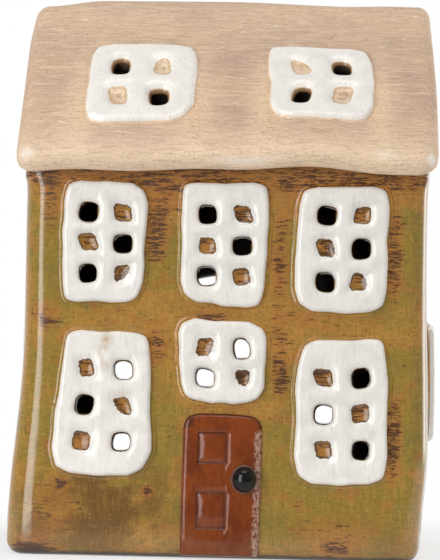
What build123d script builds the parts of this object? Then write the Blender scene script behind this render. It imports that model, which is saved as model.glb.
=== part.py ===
"""Tealight house: a small hand-built pottery house that glows through its pierced windows.

Clay slabs stand on a base slab and carry two roof slabs. Window plaques, a door and a knob are
pressed on before firing. A tealight goes in through the arch in the rear wall.
Frame: origin under the middle of the base, +Z up, the front faces -Y. Millimetres and degrees.
"""

import os
from dataclasses import dataclass
from math import cos, radians, sin, tan

from build123d import *

# Body
FOOT_WIDTH = 109.0
SIDE_BATTER = 1.5
BODY_DEPTH = 78.0
WALL = 6.0
BASE_THICKNESS = 7.0
CORNER_RADIUS = 5.0
FOOT_RADIUS = 3.5

# Roof
ROOF_PITCH = 45.0
ROOF_THICKNESS = 6.5
EAVES_OVERHANG = 3.0
GABLE_OVERHANG = 2.0
RIDGE_RADIUS = 6.0
ROOF_CORNER_RADIUS = 6.0
ROOF_RIM_RADIUS = 3.5
ROOF_UNDER_RADIUS = 1.5

# Window plaques: six-pane ones on the walls, four-pane ones over the door and on the roof. The front is
# shared out in three bays and the roof in two, and the piers are the bare clay left beside the plaques.
PLAQUE_THICKNESS = 2.0
PLAQUE_CORNER = 6.5
PLAQUE_EDGE = 1.0
PANE_WIDTH = 4.8
PANE_HEIGHT = 5.1
PANE_CORNER = 0.8
PANE_FIELD_MARGIN = 0.9
PANE_FIELD_DEPTH = 0.5
CORNER_PIER = 7.55
LOWER_SILL = 19.4
LOWER_PIER = 6.0
LOWER_HEIGHT = 37.5
LOWER_PITCH_X = 9.9
LOWER_PITCH_Z = 9.4
STOREY_GAP = 8.3
UPPER_PIER = 7.3
UPPER_HEIGHT = 32.6
UPPER_PITCH_X = 9.2
UPPER_PITCH_Z = 8.4
EAVES_GAP = 3.5
FANLIGHT_PIER = 7.1
FANLIGHT_HEIGHT = 21.8
FANLIGHT_PITCH_X = 9.7
FANLIGHT_PITCH_Z = 7.9
GABLE_SILL = 28.0
ROOF_END_PIER = 6.6
ROOF_WINDOW_FROM_EAVES = 27.0
ROOF_PIER = 18.9
ROOF_WINDOW_LENGTH = 31.0
ROOF_PITCH_X = 10.8
ROOF_PITCH_Y = 12.0
ROOF_PANE_WIDTH = 5.6
ROOF_PANE_LENGTH = 7.2

# Door
DOOR_WIDTH = 20.8
DOOR_TOP = 37.0
DOOR_SILL = 0.8
DOOR_THICKNESS = 1.8
DOOR_CORNER = 4.0
DOOR_SILL_CORNER = 0.8
DOOR_EDGE = 0.9
DOOR_PANEL_WIDTH = 7.2
DOOR_PANEL_HEIGHT = 8.0
DOOR_PANEL_CORNER = 1.0
DOOR_PANEL_OFFSET = 2.5
DOOR_PANEL_SPACING = 15.8
DOOR_PANEL_CENTRE = 19.7
DOOR_GROOVE_WIDTH = 0.8
DOOR_GROOVE_DEPTH = 0.7
KNOB_RADIUS = 2.9
KNOB_SEAT_RADIUS = 2.6
KNOB_FROM_EDGE = 4.4
KNOB_HEIGHT = 19.6

# Rear arch, which the tealight goes through
ARCH_WIDTH = 69.0
ARCH_HEIGHT = 66.0
ARCH_EDGE = 2.0

# Tealight
CUP_RADIUS = 19.0
CUP_FOOT_RADIUS = 17.8
CUP_HEIGHT = 15.0
CUP_WALL = 0.4
CUP_RIM = 0.6
WAX_DEPTH = 12.0
WAX_GAP = 0.15
SUSTAINER_RADIUS = 6.5
SUSTAINER_THICKNESS = 0.4
COLLAR_HEIGHT = 3.0
COLLAR_WALL = 0.4
WICK_RADIUS = 0.7
WICK_GAP = 0.06
WICK_STANDS_UP = 6.0

# Heights, worked up from the ground: sill, two storeys of windows, eaves, roof
pitch = radians(ROOF_PITCH)
half_depth = BODY_DEPTH / 2
lower_top = LOWER_SILL + LOWER_HEIGHT
upper_sill = lower_top + STOREY_GAP
eaves_height = upper_sill + UPPER_HEIGHT + EAVES_GAP
wall_top = eaves_height + EAVES_OVERHANG * tan(pitch)
under_apex = wall_top + half_depth * tan(pitch)
apex = under_apex + ROOF_THICKNESS / cos(pitch)
ridge_top = apex - RIDGE_RADIUS * (1 / cos(pitch) - 1)
roof_length = FOOT_WIDTH - 2 * SIDE_BATTER + 2 * GABLE_OVERHANG
nose_run = half_depth + EAVES_OVERHANG
slope_length = (nose_run + ROOF_THICKNESS * sin(pitch)) / cos(pitch)
arch_spring = BASE_THICKNESS + ARCH_HEIGHT - ARCH_WIDTH / 2
knob_reach = (KNOB_RADIUS**2 - KNOB_SEAT_RADIUS**2) ** 0.5
cup_neck = CUP_RADIUS - CUP_RIM
collar_radius = WICK_RADIUS + WICK_GAP + COLLAR_WALL
side_lean = SIDE_BATTER / wall_top
front_bay = (FOOT_WIDTH - 2 * CORNER_PIER) / 3
roof_bay = (roof_length - 2 * ROOF_END_PIER) / 2


def half_width(height):
    """Half the body's width at a height: the side walls lean in towards the eaves."""
    return FOOT_WIDTH / 2 - side_lean * height


def wax_radius(height):
    """Radius of the wax at a height over the base: the cup's inside, less the gap."""
    taper = (cup_neck - CUP_FOOT_RADIUS) / (CUP_HEIGHT - CUP_WALL)
    return CUP_FOOT_RADIUS - CUP_WALL + taper * (height - CUP_WALL) - WAX_GAP


# Faces that other pieces are set on. On each, x runs to the right and y runs up.
front_face = Plane.XZ.offset(half_depth)
rear_face = Plane((0, half_depth, 0), x_dir=(-1, 0, 0), z_dir=(0, 1, 0))
door_face = front_face.offset(DOOR_THICKNESS)
cup_section = Plane((0, 0, BASE_THICKNESS), x_dir=(1, 0, 0), z_dir=(0, -1, 0))
cup_floor = Plane.XY.offset(BASE_THICKNESS + CUP_WALL)
front_roof_top = Plane((0, 0, apex), x_dir=(1, 0, 0), z_dir=(0, -sin(pitch), cos(pitch)))
front_roof_under = front_roof_top.offset(-ROOF_THICKNESS)
rear_roof_under = Plane((0, 0, under_apex), x_dir=(-1, 0, 0), z_dir=(0, sin(pitch), cos(pitch)))
right_face = Plane((half_width(0), 0, 0), x_dir=(0, 1, 0), z_dir=(1, 0, side_lean))
left_face = Plane((-half_width(0), 0, 0), x_dir=(0, -1, 0), z_dir=(-1, 0, side_lean))


@dataclass
class Window:
    """One window plaque on a face. Every other pane is pierced through what it is set on."""

    face: Plane
    x: float
    y: float
    width: float
    height: float
    rows: int
    pitch_x: float
    pitch_y: float
    first_pierced: int
    pane_width: float = PANE_WIDTH
    pane_height: float = PANE_HEIGHT

    def panes(self):
        """Pane centres, row by row from the top, left before right."""
        top = self.y + (self.rows - 1) / 2 * self.pitch_y
        left = self.x - self.pitch_x / 2
        return [(left + c * self.pitch_x, top - r * self.pitch_y) for r in range(self.rows) for c in range(2)]

    def pane(self, margin=0.0):
        """One pane's outline with its corners cut, or the sunk field around it."""
        with BuildSketch() as outline:
            Rectangle(self.pane_width + 2 * margin, self.pane_height + 2 * margin)
            chamfer(outline.vertices(), PANE_CORNER)
        return outline.sketch

    def pierced(self):
        """The panes that light comes through, in a chequer."""
        return [p for i, p in enumerate(self.panes()) if (i + i // 2) % 2 == self.first_pierced]


def lower_window(x):
    """A tall six-pane window of the ground floor."""
    return Window(
        front_face, x, LOWER_SILL + LOWER_HEIGHT / 2, front_bay - LOWER_PIER, LOWER_HEIGHT,
        3, LOWER_PITCH_X, LOWER_PITCH_Z, 1,
    )


def upper_window(face, x, sill):
    """A six-pane window of the first floor, also used on the gables."""
    return Window(
        face, x, sill + UPPER_HEIGHT / 2, front_bay - UPPER_PIER, UPPER_HEIGHT,
        3, UPPER_PITCH_X, UPPER_PITCH_Z, 0,
    )


def roof_window(x, first_pierced):
    """A four-pane window lying on the front roof slab."""
    return Window(
        front_roof_top, x, ROOF_WINDOW_FROM_EAVES - slope_length, roof_bay - ROOF_PIER, ROOF_WINDOW_LENGTH,
        2, ROOF_PITCH_X, ROOF_PITCH_Y, first_pierced, ROOF_PANE_WIDTH, ROOF_PANE_LENGTH,
    )


fanlight = Window(
    front_face, 0, (DOOR_TOP + upper_sill) / 2, front_bay - FANLIGHT_PIER, FANLIGHT_HEIGHT,
    2, FANLIGHT_PITCH_X, FANLIGHT_PITCH_Z, 1,
)
front_windows = {
    "window_upper_left": upper_window(front_face, -front_bay, upper_sill),
    "window_upper_middle": upper_window(front_face, 0, upper_sill),
    "window_upper_right": upper_window(front_face, front_bay, upper_sill),
    "window_lower_left": lower_window(-front_bay),
    "window_over_door": fanlight,
    "window_lower_right": lower_window(front_bay),
}
roof_windows = {
    "roof_window_left": roof_window(-roof_bay / 2, 0),
    "roof_window_right": roof_window(roof_bay / 2, 1),
}
left_windows = {"window_left_gable": upper_window(left_face, 0, GABLE_SILL)}
right_windows = {"window_right_gable": upper_window(right_face, 0, GABLE_SILL)}
all_windows = {**front_windows, **roof_windows, **left_windows, **right_windows}
door_panels = [
    (-DOOR_PANEL_OFFSET, DOOR_PANEL_CENTRE + side * DOOR_PANEL_SPACING / 2) for side in (1, -1)
]


def body_block(inset, low, high):
    """The leaning body between two heights, set in from its outer faces by the inset."""
    with BuildPart() as block:
        for height in (low, high):
            with BuildSketch(Plane.XY.offset(height)):
                Rectangle(2 * (half_width(height) - inset), BODY_DEPTH - 2 * inset)
        loft(ruled=True)
        if inset == 0:
            upright = block.edges().filter_by(lambda edge: edge.bounding_box().size.Z > (high - low) / 2)
            fillet(upright, CORNER_RADIUS)
    return block.part


# Base slab: the floor that everything stands on, with a softened foot
with BuildPart() as base_slab:
    add(body_block(0, 0, BASE_THICKNESS))
    fillet(base_slab.faces().sort_by(Axis.Z)[0].edges(), FOOT_RADIUS)

# The four walls are one ring of clay, cut where the slabs butt and under the two roof slopes
with BuildPart() as wall_ring:
    add(body_block(0, BASE_THICKNESS, apex))
    add(body_block(WALL, BASE_THICKNESS, apex), mode=Mode.SUBTRACT)
    split(bisect_by=front_roof_under, keep=Keep.BOTTOM)
    split(bisect_by=rear_roof_under, keep=Keep.BOTTOM)

# Front wall, pierced behind the chequered panes
with BuildPart() as front_wall:
    add(wall_ring.part)
    split(bisect_by=front_face.offset(-WALL), keep=Keep.TOP)
    with BuildSketch(front_face):
        for window in front_windows.values():
            with Locations(*window.pierced()):
                add(window.pane())
    extrude(amount=-2 * WALL, mode=Mode.SUBTRACT)

# Rear wall, open in a wide arch down to the floor, with its edges wiped round
with BuildPart() as rear_wall:
    add(wall_ring.part)
    split(bisect_by=rear_face.offset(-WALL), keep=Keep.TOP)
    with BuildSketch(rear_face):
        with BuildLine():
            Line((ARCH_WIDTH / 2, arch_spring), (ARCH_WIDTH / 2, BASE_THICKNESS))
            Line((ARCH_WIDTH / 2, BASE_THICKNESS), (-ARCH_WIDTH / 2, BASE_THICKNESS))
            Line((-ARCH_WIDTH / 2, BASE_THICKNESS), (-ARCH_WIDTH / 2, arch_spring))
            JernArc((-ARCH_WIDTH / 2, arch_spring), (0, 1), ARCH_WIDTH / 2, -180)
        make_face()
    extrude(amount=-2 * WALL, mode=Mode.SUBTRACT)
    arch_edges = rear_wall.edges(Select.LAST).filter_by(Axis.Y, reverse=True)
    fillet(arch_edges.filter_by(lambda edge: edge.center().Z > BASE_THICKNESS + ARCH_EDGE), ARCH_EDGE)

# Gable walls between the front and the rear wall, each pierced behind its window
gable_walls = {}
for name, face, windows in (
    ("left_gable_wall", left_face, left_windows),
    ("right_gable_wall", right_face, right_windows),
):
    with BuildPart() as gable_wall:
        add(wall_ring.part)
        split(bisect_by=front_face.offset(-WALL), keep=Keep.BOTTOM)
        split(bisect_by=rear_face.offset(-WALL), keep=Keep.BOTTOM)
        split(bisect_by=Plane(origin=(0, 0, 0), z_dir=face.z_dir), keep=Keep.TOP)
        with BuildSketch(face):
            for window in windows.values():
                with Locations(*window.pierced()):
                    add(window.pane())
        extrude(amount=-2 * WALL, mode=Mode.SUBTRACT)
    gable_walls[name] = gable_wall

# Front roof slab: half the ridge, a plain slope and a thick rounded nose at the eaves
with BuildPart() as plain_roof_slab:
    with BuildSketch(Plane.YZ):
        with BuildLine():
            ridge = JernArc((0, ridge_top), (-1, 0), RIDGE_RADIUS, ROOF_PITCH)
            nose_top = (-slope_length * cos(pitch), apex - slope_length * sin(pitch))
            Polyline(ridge @ 1, nose_top, (-nose_run, eaves_height), (0, under_apex), ridge @ 0)
        make_face()
    extrude(amount=roof_length / 2, both=True)
    fillet(plain_roof_slab.edges().filter_by(Axis((0, 0, 0), front_roof_top.z_dir)), ROOF_CORNER_RADIUS)
    for rim_plane, rim_radius in ((front_roof_top, ROOF_RIM_RADIUS), (front_roof_under, ROOF_UNDER_RADIUS)):
        slope = plain_roof_slab.faces().filter_by(
            lambda face: abs(rim_plane.to_local_coords(face.center()).Z) < ROOF_UNDER_RADIUS / 2
            and face.geom_type == GeomType.PLANE
        )[0]
        rim = slope.edges().filter_by(lambda edge: edge.center().Y < -RIDGE_RADIUS)
        fillet(rim, rim_radius)

with BuildPart() as front_roof_slab:
    add(plain_roof_slab.part)
    with BuildSketch(front_roof_top):
        for window in roof_windows.values():
            with Locations(*window.pierced()):
                add(window.pane())
    extrude(amount=-2 * ROOF_THICKNESS, mode=Mode.SUBTRACT)

# Rear roof slab: the same slab turned round, with no windows
with BuildPart() as rear_roof_slab:
    add(plain_roof_slab.part.rotate(Axis.Z, 180))

# Window plaques: a border and glazing bars stand proud of a sunk field round each pane. Every pane is
# open, and the unpierced ones show the clay behind them.
plaques = {}
for name, window in all_windows.items():
    with BuildPart() as plaque:
        with BuildSketch(window.face):
            with Locations((window.x, window.y)):
                RectangleRounded(window.width, window.height, PLAQUE_CORNER)
        extrude(amount=PLAQUE_THICKNESS)
        front = plaque.faces().sort_by(Axis(window.face.origin, window.face.z_dir))[-1]
        chamfer(front.edges(), PLAQUE_EDGE)
        for margin, depth in ((PANE_FIELD_MARGIN, PANE_FIELD_DEPTH), (0, PLAQUE_THICKNESS)):
            with BuildSketch(window.face.offset(PLAQUE_THICKNESS)):
                with Locations(*window.panes()):
                    add(window.pane(margin))
            extrude(amount=-depth, mode=Mode.SUBTRACT)
    plaques[name] = plaque

# Door: a slab pressed over the rounded foot, with two raised panels inside scored grooves
with BuildPart() as door:
    with BuildSketch(front_face) as door_outline:
        with BuildLine():
            FilletPolyline(
                (-DOOR_WIDTH / 2, DOOR_SILL), (-DOOR_WIDTH / 2, DOOR_TOP),
                (DOOR_WIDTH / 2, DOOR_TOP), (DOOR_WIDTH / 2, DOOR_SILL),
                radius=[DOOR_SILL_CORNER, DOOR_CORNER, DOOR_CORNER, DOOR_SILL_CORNER], close=True,
            )
        make_face()
    extrude(amount=DOOR_THICKNESS)
    fillet(door.faces().sort_by(Axis.Y)[0].outer_wire().edges(), DOOR_EDGE)
    with BuildSketch(door_face):
        with Locations(*door_panels):
            RectangleRounded(
                DOOR_PANEL_WIDTH + 2 * DOOR_GROOVE_WIDTH,
                DOOR_PANEL_HEIGHT + 2 * DOOR_GROOVE_WIDTH,
                DOOR_PANEL_CORNER + DOOR_GROOVE_WIDTH,
            )
            RectangleRounded(DOOR_PANEL_WIDTH, DOOR_PANEL_HEIGHT, DOOR_PANEL_CORNER, mode=Mode.SUBTRACT)
    extrude(amount=-DOOR_GROOVE_DEPTH, mode=Mode.SUBTRACT)
    extrude(door_outline.sketch, amount=-FOOT_RADIUS)
    add(base_slab.part, mode=Mode.SUBTRACT)
    add(front_wall.part, mode=Mode.SUBTRACT)

# Door knob: a bead of clay with a flat seat on the door
with BuildPart() as door_knob:
    with Locations((DOOR_WIDTH / 2 - KNOB_FROM_EDGE, -half_depth - DOOR_THICKNESS - knob_reach, KNOB_HEIGHT)):
        Sphere(KNOB_RADIUS)
    split(bisect_by=door_face, keep=Keep.TOP)

# Tealight cup: pressed foil with leaning sides and a turned-out rim, standing on the floor
with BuildPart() as tealight_cup:
    with BuildSketch(cup_section):
        with BuildLine():
            Polyline(
                (0, 0), (CUP_FOOT_RADIUS, 0), (cup_neck, CUP_HEIGHT - CUP_WALL),
                (CUP_RADIUS, CUP_HEIGHT - CUP_WALL), (CUP_RADIUS, CUP_HEIGHT),
                (cup_neck - CUP_WALL, CUP_HEIGHT), (CUP_FOOT_RADIUS - CUP_WALL, CUP_WALL),
                (0, CUP_WALL), close=True,
            )
        make_face()
    revolve(axis=Axis.Z)

# Wick sustainer: a tin disc with a collar that grips the wick
with BuildPart() as wick_sustainer:
    with BuildSketch(cup_floor):
        Circle(SUSTAINER_RADIUS)
    extrude(amount=SUSTAINER_THICKNESS)
    with BuildSketch(cup_floor):
        Circle(collar_radius)
    extrude(amount=COLLAR_HEIGHT)
    with BuildSketch(cup_floor):
        Circle(WICK_RADIUS + WICK_GAP)
    extrude(amount=COLLAR_HEIGHT, mode=Mode.SUBTRACT)

# Wick: a cotton cord that stands up out of the wax
with BuildPart() as wick:
    with BuildSketch(cup_floor):
        Circle(WICK_RADIUS)
    extrude(amount=WAX_DEPTH + WICK_STANDS_UP)

# Wax: cast round the sustainer and the wick
with BuildPart() as tealight_wax:
    with BuildSketch(cup_section):
        with BuildLine():
            Polyline(
                (0, CUP_WALL), (wax_radius(CUP_WALL), CUP_WALL),
                (wax_radius(CUP_WALL + WAX_DEPTH), CUP_WALL + WAX_DEPTH), (0, CUP_WALL + WAX_DEPTH), close=True,
            )
        make_face()
    revolve(axis=Axis.Z)
    for radius, height in (
        (SUSTAINER_RADIUS + WAX_GAP, SUSTAINER_THICKNESS + WAX_GAP),
        (collar_radius + WAX_GAP, COLLAR_HEIGHT + WAX_GAP),
        (WICK_RADIUS + WICK_GAP, WAX_DEPTH),
    ):
        with BuildSketch(cup_floor):
            Circle(radius)
        extrude(amount=height, mode=Mode.SUBTRACT)

parts = {
    "base_slab": base_slab,
    "front_wall": front_wall,
    "rear_wall": rear_wall,
    **gable_walls,
    "front_roof_slab": front_roof_slab,
    "rear_roof_slab": rear_roof_slab,
    **plaques,
    "door": door,
    "door_knob": door_knob,
    "tealight_cup": tealight_cup,
    "tealight_wax": tealight_wax,
    "wick_sustainer": wick_sustainer,
    "wick": wick,
}
os.makedirs("parts", exist_ok=True)
for name, piece in parts.items():
    piece.part.label = name
    export_step(piece.part, f"parts/{name}.step")
print(f"ridge {ridge_top:.1f}, eaves {eaves_height:.1f}, wall top {wall_top:.1f}, slope {slope_length:.1f}")
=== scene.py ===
import math
import random

import bmesh
import bpy
import numpy as np
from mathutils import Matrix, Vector


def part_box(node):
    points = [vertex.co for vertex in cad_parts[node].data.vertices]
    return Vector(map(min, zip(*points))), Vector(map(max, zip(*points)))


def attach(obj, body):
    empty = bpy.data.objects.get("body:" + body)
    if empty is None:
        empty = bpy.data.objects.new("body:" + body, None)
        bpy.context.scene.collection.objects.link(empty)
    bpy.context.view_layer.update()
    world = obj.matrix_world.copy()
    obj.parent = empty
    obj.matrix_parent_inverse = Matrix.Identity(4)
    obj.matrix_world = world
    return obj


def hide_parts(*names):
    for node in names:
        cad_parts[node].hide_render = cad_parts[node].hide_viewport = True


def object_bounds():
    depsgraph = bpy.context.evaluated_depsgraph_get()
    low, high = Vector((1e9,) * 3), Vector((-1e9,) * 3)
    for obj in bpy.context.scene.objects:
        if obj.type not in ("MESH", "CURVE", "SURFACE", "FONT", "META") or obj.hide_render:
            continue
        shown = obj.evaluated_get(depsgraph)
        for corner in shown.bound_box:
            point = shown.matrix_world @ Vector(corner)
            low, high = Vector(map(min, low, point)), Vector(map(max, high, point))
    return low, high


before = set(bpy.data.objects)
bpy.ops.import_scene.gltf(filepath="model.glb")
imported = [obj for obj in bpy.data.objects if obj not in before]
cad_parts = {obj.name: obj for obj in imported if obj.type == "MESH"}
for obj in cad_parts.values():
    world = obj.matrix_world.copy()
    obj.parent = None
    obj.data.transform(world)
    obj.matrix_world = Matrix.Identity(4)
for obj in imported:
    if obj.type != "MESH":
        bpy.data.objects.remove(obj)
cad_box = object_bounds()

# Clay body
# Rolled clay slabs, luted together while soft and fired as one: floor, front, gables and a rear wall
# with an arch. No edge is straight, so every clay piece goes through the same soft bend, and the
# pieces stay seated on each other.
MM = 0.001
WALL_THICKNESS = 6.0
CORNER = 5.0
SIDE_LEAN = 0.0143
FOOT_ROUND = 3.5
house_height = cad_box[1].z / MM
half_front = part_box("front_wall")[1].x / MM
front_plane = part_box("front_wall")[0].y / MM
half_inside = -front_plane - WALL_THICKNESS
floor_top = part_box("base_slab")[1].z / MM
roof_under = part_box("left_gable_wall")[1].z / MM


def fade(value, start, end):
    """0 at start, 1 at end, with a soft step between."""
    t = np.clip((value - start) / (end - start), 0, 1)
    return t * t * (3 - 2 * t)


def hump(value, middle, spread):
    """1 at the middle, falling away softly to both sides."""
    return np.exp(-(((value - middle) / spread) ** 2))


def hand_bend(points):
    """Moves points, in millimetres, the way the potter's hands left the clay."""
    x, y, z = points.T
    left = np.clip(-x / half_front, 0, 1) ** 2
    right = np.clip(x / half_front, 0, 1) ** 2
    eaves = fade(z, 97.5, 102) * (1 - fade(z, 108, 128))
    ridge = fade(z, 112, house_height)
    standing = fade(z, 4, 30)
    at_front = fade(y, front_plane + 12, front_plane) * (1 - fade(z, 95, 101))

    foot_splay = -2.7 * left * (1 - fade(z, 2, 56)) - 1.7 * right * (1 - fade(z, 0, 27))
    wall_wave = 0.25 * standing * np.sin(z / 17 + 1.2 * x / half_front)
    window_shove = -0.3 * hump(x, 31, 15) * hump(z, 81, 19)
    corner_pinch = 1.1 * at_front * (left ** 4 - right ** 4)
    gable_bulge = 1.8 * fade(x, 36, half_front) * hump(y, 0, 24) * hump(z, 44, 27)
    ridge_ends = 0.6 * fade(z, 136, house_height) * np.sign(x) * (left + right)
    ridge_wave = ridge * (0.5 * np.sin(z / 9 + 2) - ridge_ends)
    across = foot_splay + wall_wave + window_shove + corner_pinch + gable_bulge + ridge_wave

    face_wave = 0.3 * standing * np.sin(x / 15 + 0.7) * np.cos(z / 21)
    corner_roll = at_front * (1.0 * fade(-x, 47, half_front) + 0.5 * fade(x, 48, half_front))
    back = face_wave + corner_roll

    level_wave = 0.3 * standing * np.sin(x / 19 + y / 33 + 0.4)
    eaves_sag = eaves * (0.7 * hump(x, 21, 13) - 2.4 * left ** 2 - 1.1 * right ** 2 - 0.4)
    eaves_ripple = eaves * (0.25 * np.sin(x / 5.1 + y / 14) + 0.3 * np.sin(x / 11.5 + 0.8))
    ridge_line = ridge * (0.3 * np.sin(x / 23 + 2.6) - 0.6 * fade(x, 0, 30) + 0.5 * fade(x, 30, 45) - 0.5)
    ridge_drop = -1.7 * ridge * fade(-x, 36, 52)
    door_window_sag = -1.5 * hump(x, 0, 15) * hump(z, 51, 12)
    right_windows_sag = -1.7 * hump(x, 31, 15) * fade(z, 90, 70) * fade(z, 2, 25)
    roof_windows_lift = hump(z, 124, 12) * (1.2 * hump(x, 24, 16) + 0.5 * hump(x, -24, 16))
    storey_lift = 1.9 * fade(z, 3, 18) * (1 - 0.75 * fade(z, 58, 97))
    up = level_wave + eaves_sag + eaves_ripple + ridge_line + ridge_drop
    up += door_window_sag + right_windows_sag + roof_windows_lift + storey_lift
    return points + np.stack([across, back, up], axis=1)


def finish_piece(node, mesh, finish, body):
    """Makes the object that stands for a CAD node and rides on a body."""
    piece = bpy.data.objects.new(node + "_look", mesh)
    bpy.context.scene.collection.objects.link(piece)
    mesh.materials.append(finish.material)
    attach(piece, body)
    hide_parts(node)
    return piece


def mesh_of(name, net):
    """Turns a finished net into a mesh with smooth shading."""
    mesh = bpy.data.meshes.new(name)
    net.to_mesh(mesh)
    net.free()
    mesh.shade_smooth()
    return mesh


def points_of(mesh):
    """The mesh's points, a row for each."""
    flat = np.zeros(len(mesh.vertices) * 3)
    mesh.vertices.foreach_get("co", flat)
    return flat.reshape(-1, 3)


def bent_mesh(name, net):
    """Turns a net in millimetres into a mesh that is bent with the wall."""
    mesh = mesh_of(name, net)
    mesh.vertices.foreach_set("co", (hand_bend(points_of(mesh)) * MM).ravel())
    return mesh


SLAB_NET = 2.4
FRONT_NET = 1.3
WELD = 0.002
SHARP_EDGE = math.radians(38)


def clay_slab(node, net=SLAB_NET):
    """The node's solid, cut into a fine net so that it can bend, and bent by hand."""
    soft = bmesh.new()
    soft.from_mesh(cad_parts[node].data)
    bmesh.ops.remove_doubles(soft, verts=soft.verts, dist=WELD * MM)
    low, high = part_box(node)
    for axis in range(3):
        normal = Vector((0, 0, 0))
        normal[axis] = 1
        cuts = int((high[axis] - low[axis]) / (net * MM))
        for cut in range(1, cuts):
            place = Vector((0, 0, 0))
            place[axis] = low[axis] + (high[axis] - low[axis]) * cut / cuts
            everything = soft.verts[:] + soft.edges[:] + soft.faces[:]
            bmesh.ops.bisect_plane(
                soft, geom=everything, plane_co=place, plane_no=normal, dist=WELD / 2 * MM
            )
    bmesh.ops.remove_doubles(soft, verts=soft.verts, dist=WELD * MM)
    mesh = mesh_of(node + "_clay", soft)
    points = points_of(mesh) / MM
    mesh.vertices.foreach_set("co", (hand_bend(points) * MM).ravel())
    mesh.set_sharp_from_angle(angle=SHARP_EDGE)
    return mesh, points


SLACK = 0.02
PROBE = 0.05


def round_corners(mesh, points):
    """Gives the upright corners the normals of a true round, which uneven facets would break up."""
    x, y, z = points.T
    side = np.abs(x) - (half_front - CORNER - SIDE_LEAN * (z - floor_top))
    front = np.abs(y) - (-front_plane - CORNER)
    reach = np.maximum(np.hypot(side, front), SLACK)
    on_round = np.abs(reach - CORNER) < 5 * SLACK
    on_corner = (side > -SLACK) & (front > -SLACK) & on_round & (z > FOOT_ROUND)
    out = np.stack([np.sign(x) * side / reach, np.sign(y) * front / reach, 0 * z], axis=1)
    level = PROBE * np.stack([-out[:, 1], out[:, 0], 0 * z], axis=1)
    rising = PROBE * np.stack([-np.sign(x) * SIDE_LEAN * side / reach, 0 * y, 1 + 0 * z], axis=1)
    bent_level = hand_bend(points + level) - hand_bend(points - level)
    bent_rising = hand_bend(points + rising) - hand_bend(points - rising)
    normals = np.cross(bent_level, bent_rising)
    normals /= np.linalg.norm(normals, axis=1, keepdims=True)
    shaded = np.zeros(len(mesh.loops) * 3)
    mesh.corner_normals.foreach_get("vector", shaded)
    shaded = shaded.reshape(-1, 3)
    owner = np.zeros(len(mesh.loops), dtype=np.int32)
    mesh.loops.foreach_get("vertex_index", owner)
    rounded = on_corner[owner]
    shaded[rounded] = normals[owner[rounded]]
    mesh.normals_split_custom_set(shaded.tolist())


class Finish:
    """A node material, or the light of a room: one shader, fed by small named steps."""

    def __init__(self, name, kind=bpy.data.materials, shader="Principled BSDF"):
        self.material = kind.new(name)
        self.material.use_nodes = True
        self.nodes = self.material.node_tree.nodes
        self.links = self.material.node_tree.links
        self.shader = self.nodes[shader]
        metres = self.add("TexCoord").outputs["Object"]
        self.place = self.add("VectorMath", "SCALE", Vector=metres, Scale=1 / MM).outputs[0]

    def plug(self, socket, value):
        """Links a value that comes from a node, or sets a plain one."""
        if isinstance(value, bpy.types.NodeSocket):
            self.links.new(value, socket)
        elif isinstance(value, tuple) and len(value) == 3 and socket.type == "RGBA":
            socket.default_value = (*value, 1)
        else:
            socket.default_value = value

    def feed(self, node, sockets):
        """Plugs values into a node's sockets, by names with underscores for spaces."""
        for name, value in sockets.items():
            self.plug(node.inputs[name.replace("_", " ")], value)

    def add(self, kind, operation=None, **sockets):
        """A new node with its sockets fed."""
        node = self.nodes.new("ShaderNode" + kind)
        if operation:
            node.operation = operation
        self.feed(node, sockets)
        return node

    def noise(self, grain, stretch=(1, 1, 1), detail=3.0, rough=0.55, shift=(0, 0, 0), warp=0.0):
        """Cloudy noise whose lumps are about grain millimetres across, longer along stretched axes."""
        scale = [1 / (grain * share) for share in stretch]
        place = self.add("Mapping", Vector=self.place, Scale=scale, Location=shift).outputs[0]
        texture = self.add("TexNoise", Vector=place, Scale=1, Detail=detail, Roughness=rough, Distortion=warp)
        return texture.outputs["Fac"]

    def height(self):
        """Height over the table, in millimetres."""
        return self.add("SeparateXYZ", Vector=self.place).outputs["Z"]

    def attribute(self, name):
        """A value painted on the mesh's points."""
        node = self.add("Attribute")
        node.attribute_name = name
        return node.outputs["Fac"]

    def step(self, value, start, end):
        """0 at start and 1 at end, softly; start may lie above end."""
        node = self.add("MapRange", Value=value, From_Min=start, From_Max=end)
        node.interpolation_type = "SMOOTHSTEP"
        return node.outputs[0]

    def math(self, operation, first, second):
        """Plain arithmetic on two values."""
        node = self.add("Math", operation)
        self.plug(node.inputs[0], first)
        self.plug(node.inputs[1], second)
        return node.outputs[0]

    def times(self, first, second):
        """The product of two values."""
        return self.math("MULTIPLY", first, second)

    def plus(self, first, second):
        """The sum of two values."""
        return self.math("ADD", first, second)

    def blend(self, amount, first, second):
        """The second colour laid over the first by the amount."""
        node = self.add("Mix")
        node.data_type = "RGBA"
        self.feed(node, {"Factor": amount, "A": first, "B": second})
        return node.outputs["Result"]

    def wash(self, under, colour, amount, strength):
        """A thin coat of a colour over another, where the amount says and up to the strength."""
        return self.blend(self.times(amount, strength), under, colour)

    def bump(self, height, depth, before=None):
        """Relief, in millimetres, from a 0 to 1 height."""
        node = self.add("Bump", Distance=depth * MM, Height=height)
        if before is not None:
            self.links.new(before, node.inputs["Normal"])
        return node.outputs[0]

    def surface(self, **sockets):
        """Feeds the shader itself."""
        self.feed(self.shader, sockets)
        return self


AMBER = (0.410, 0.205, 0.036)
OLIVE = (0.268, 0.180, 0.026)
RUST = (0.375, 0.145, 0.032)
UMBER = (0.140, 0.066, 0.013)
SOOT_AND_SHADE = (0.046, 0.014, 0.005)


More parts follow.
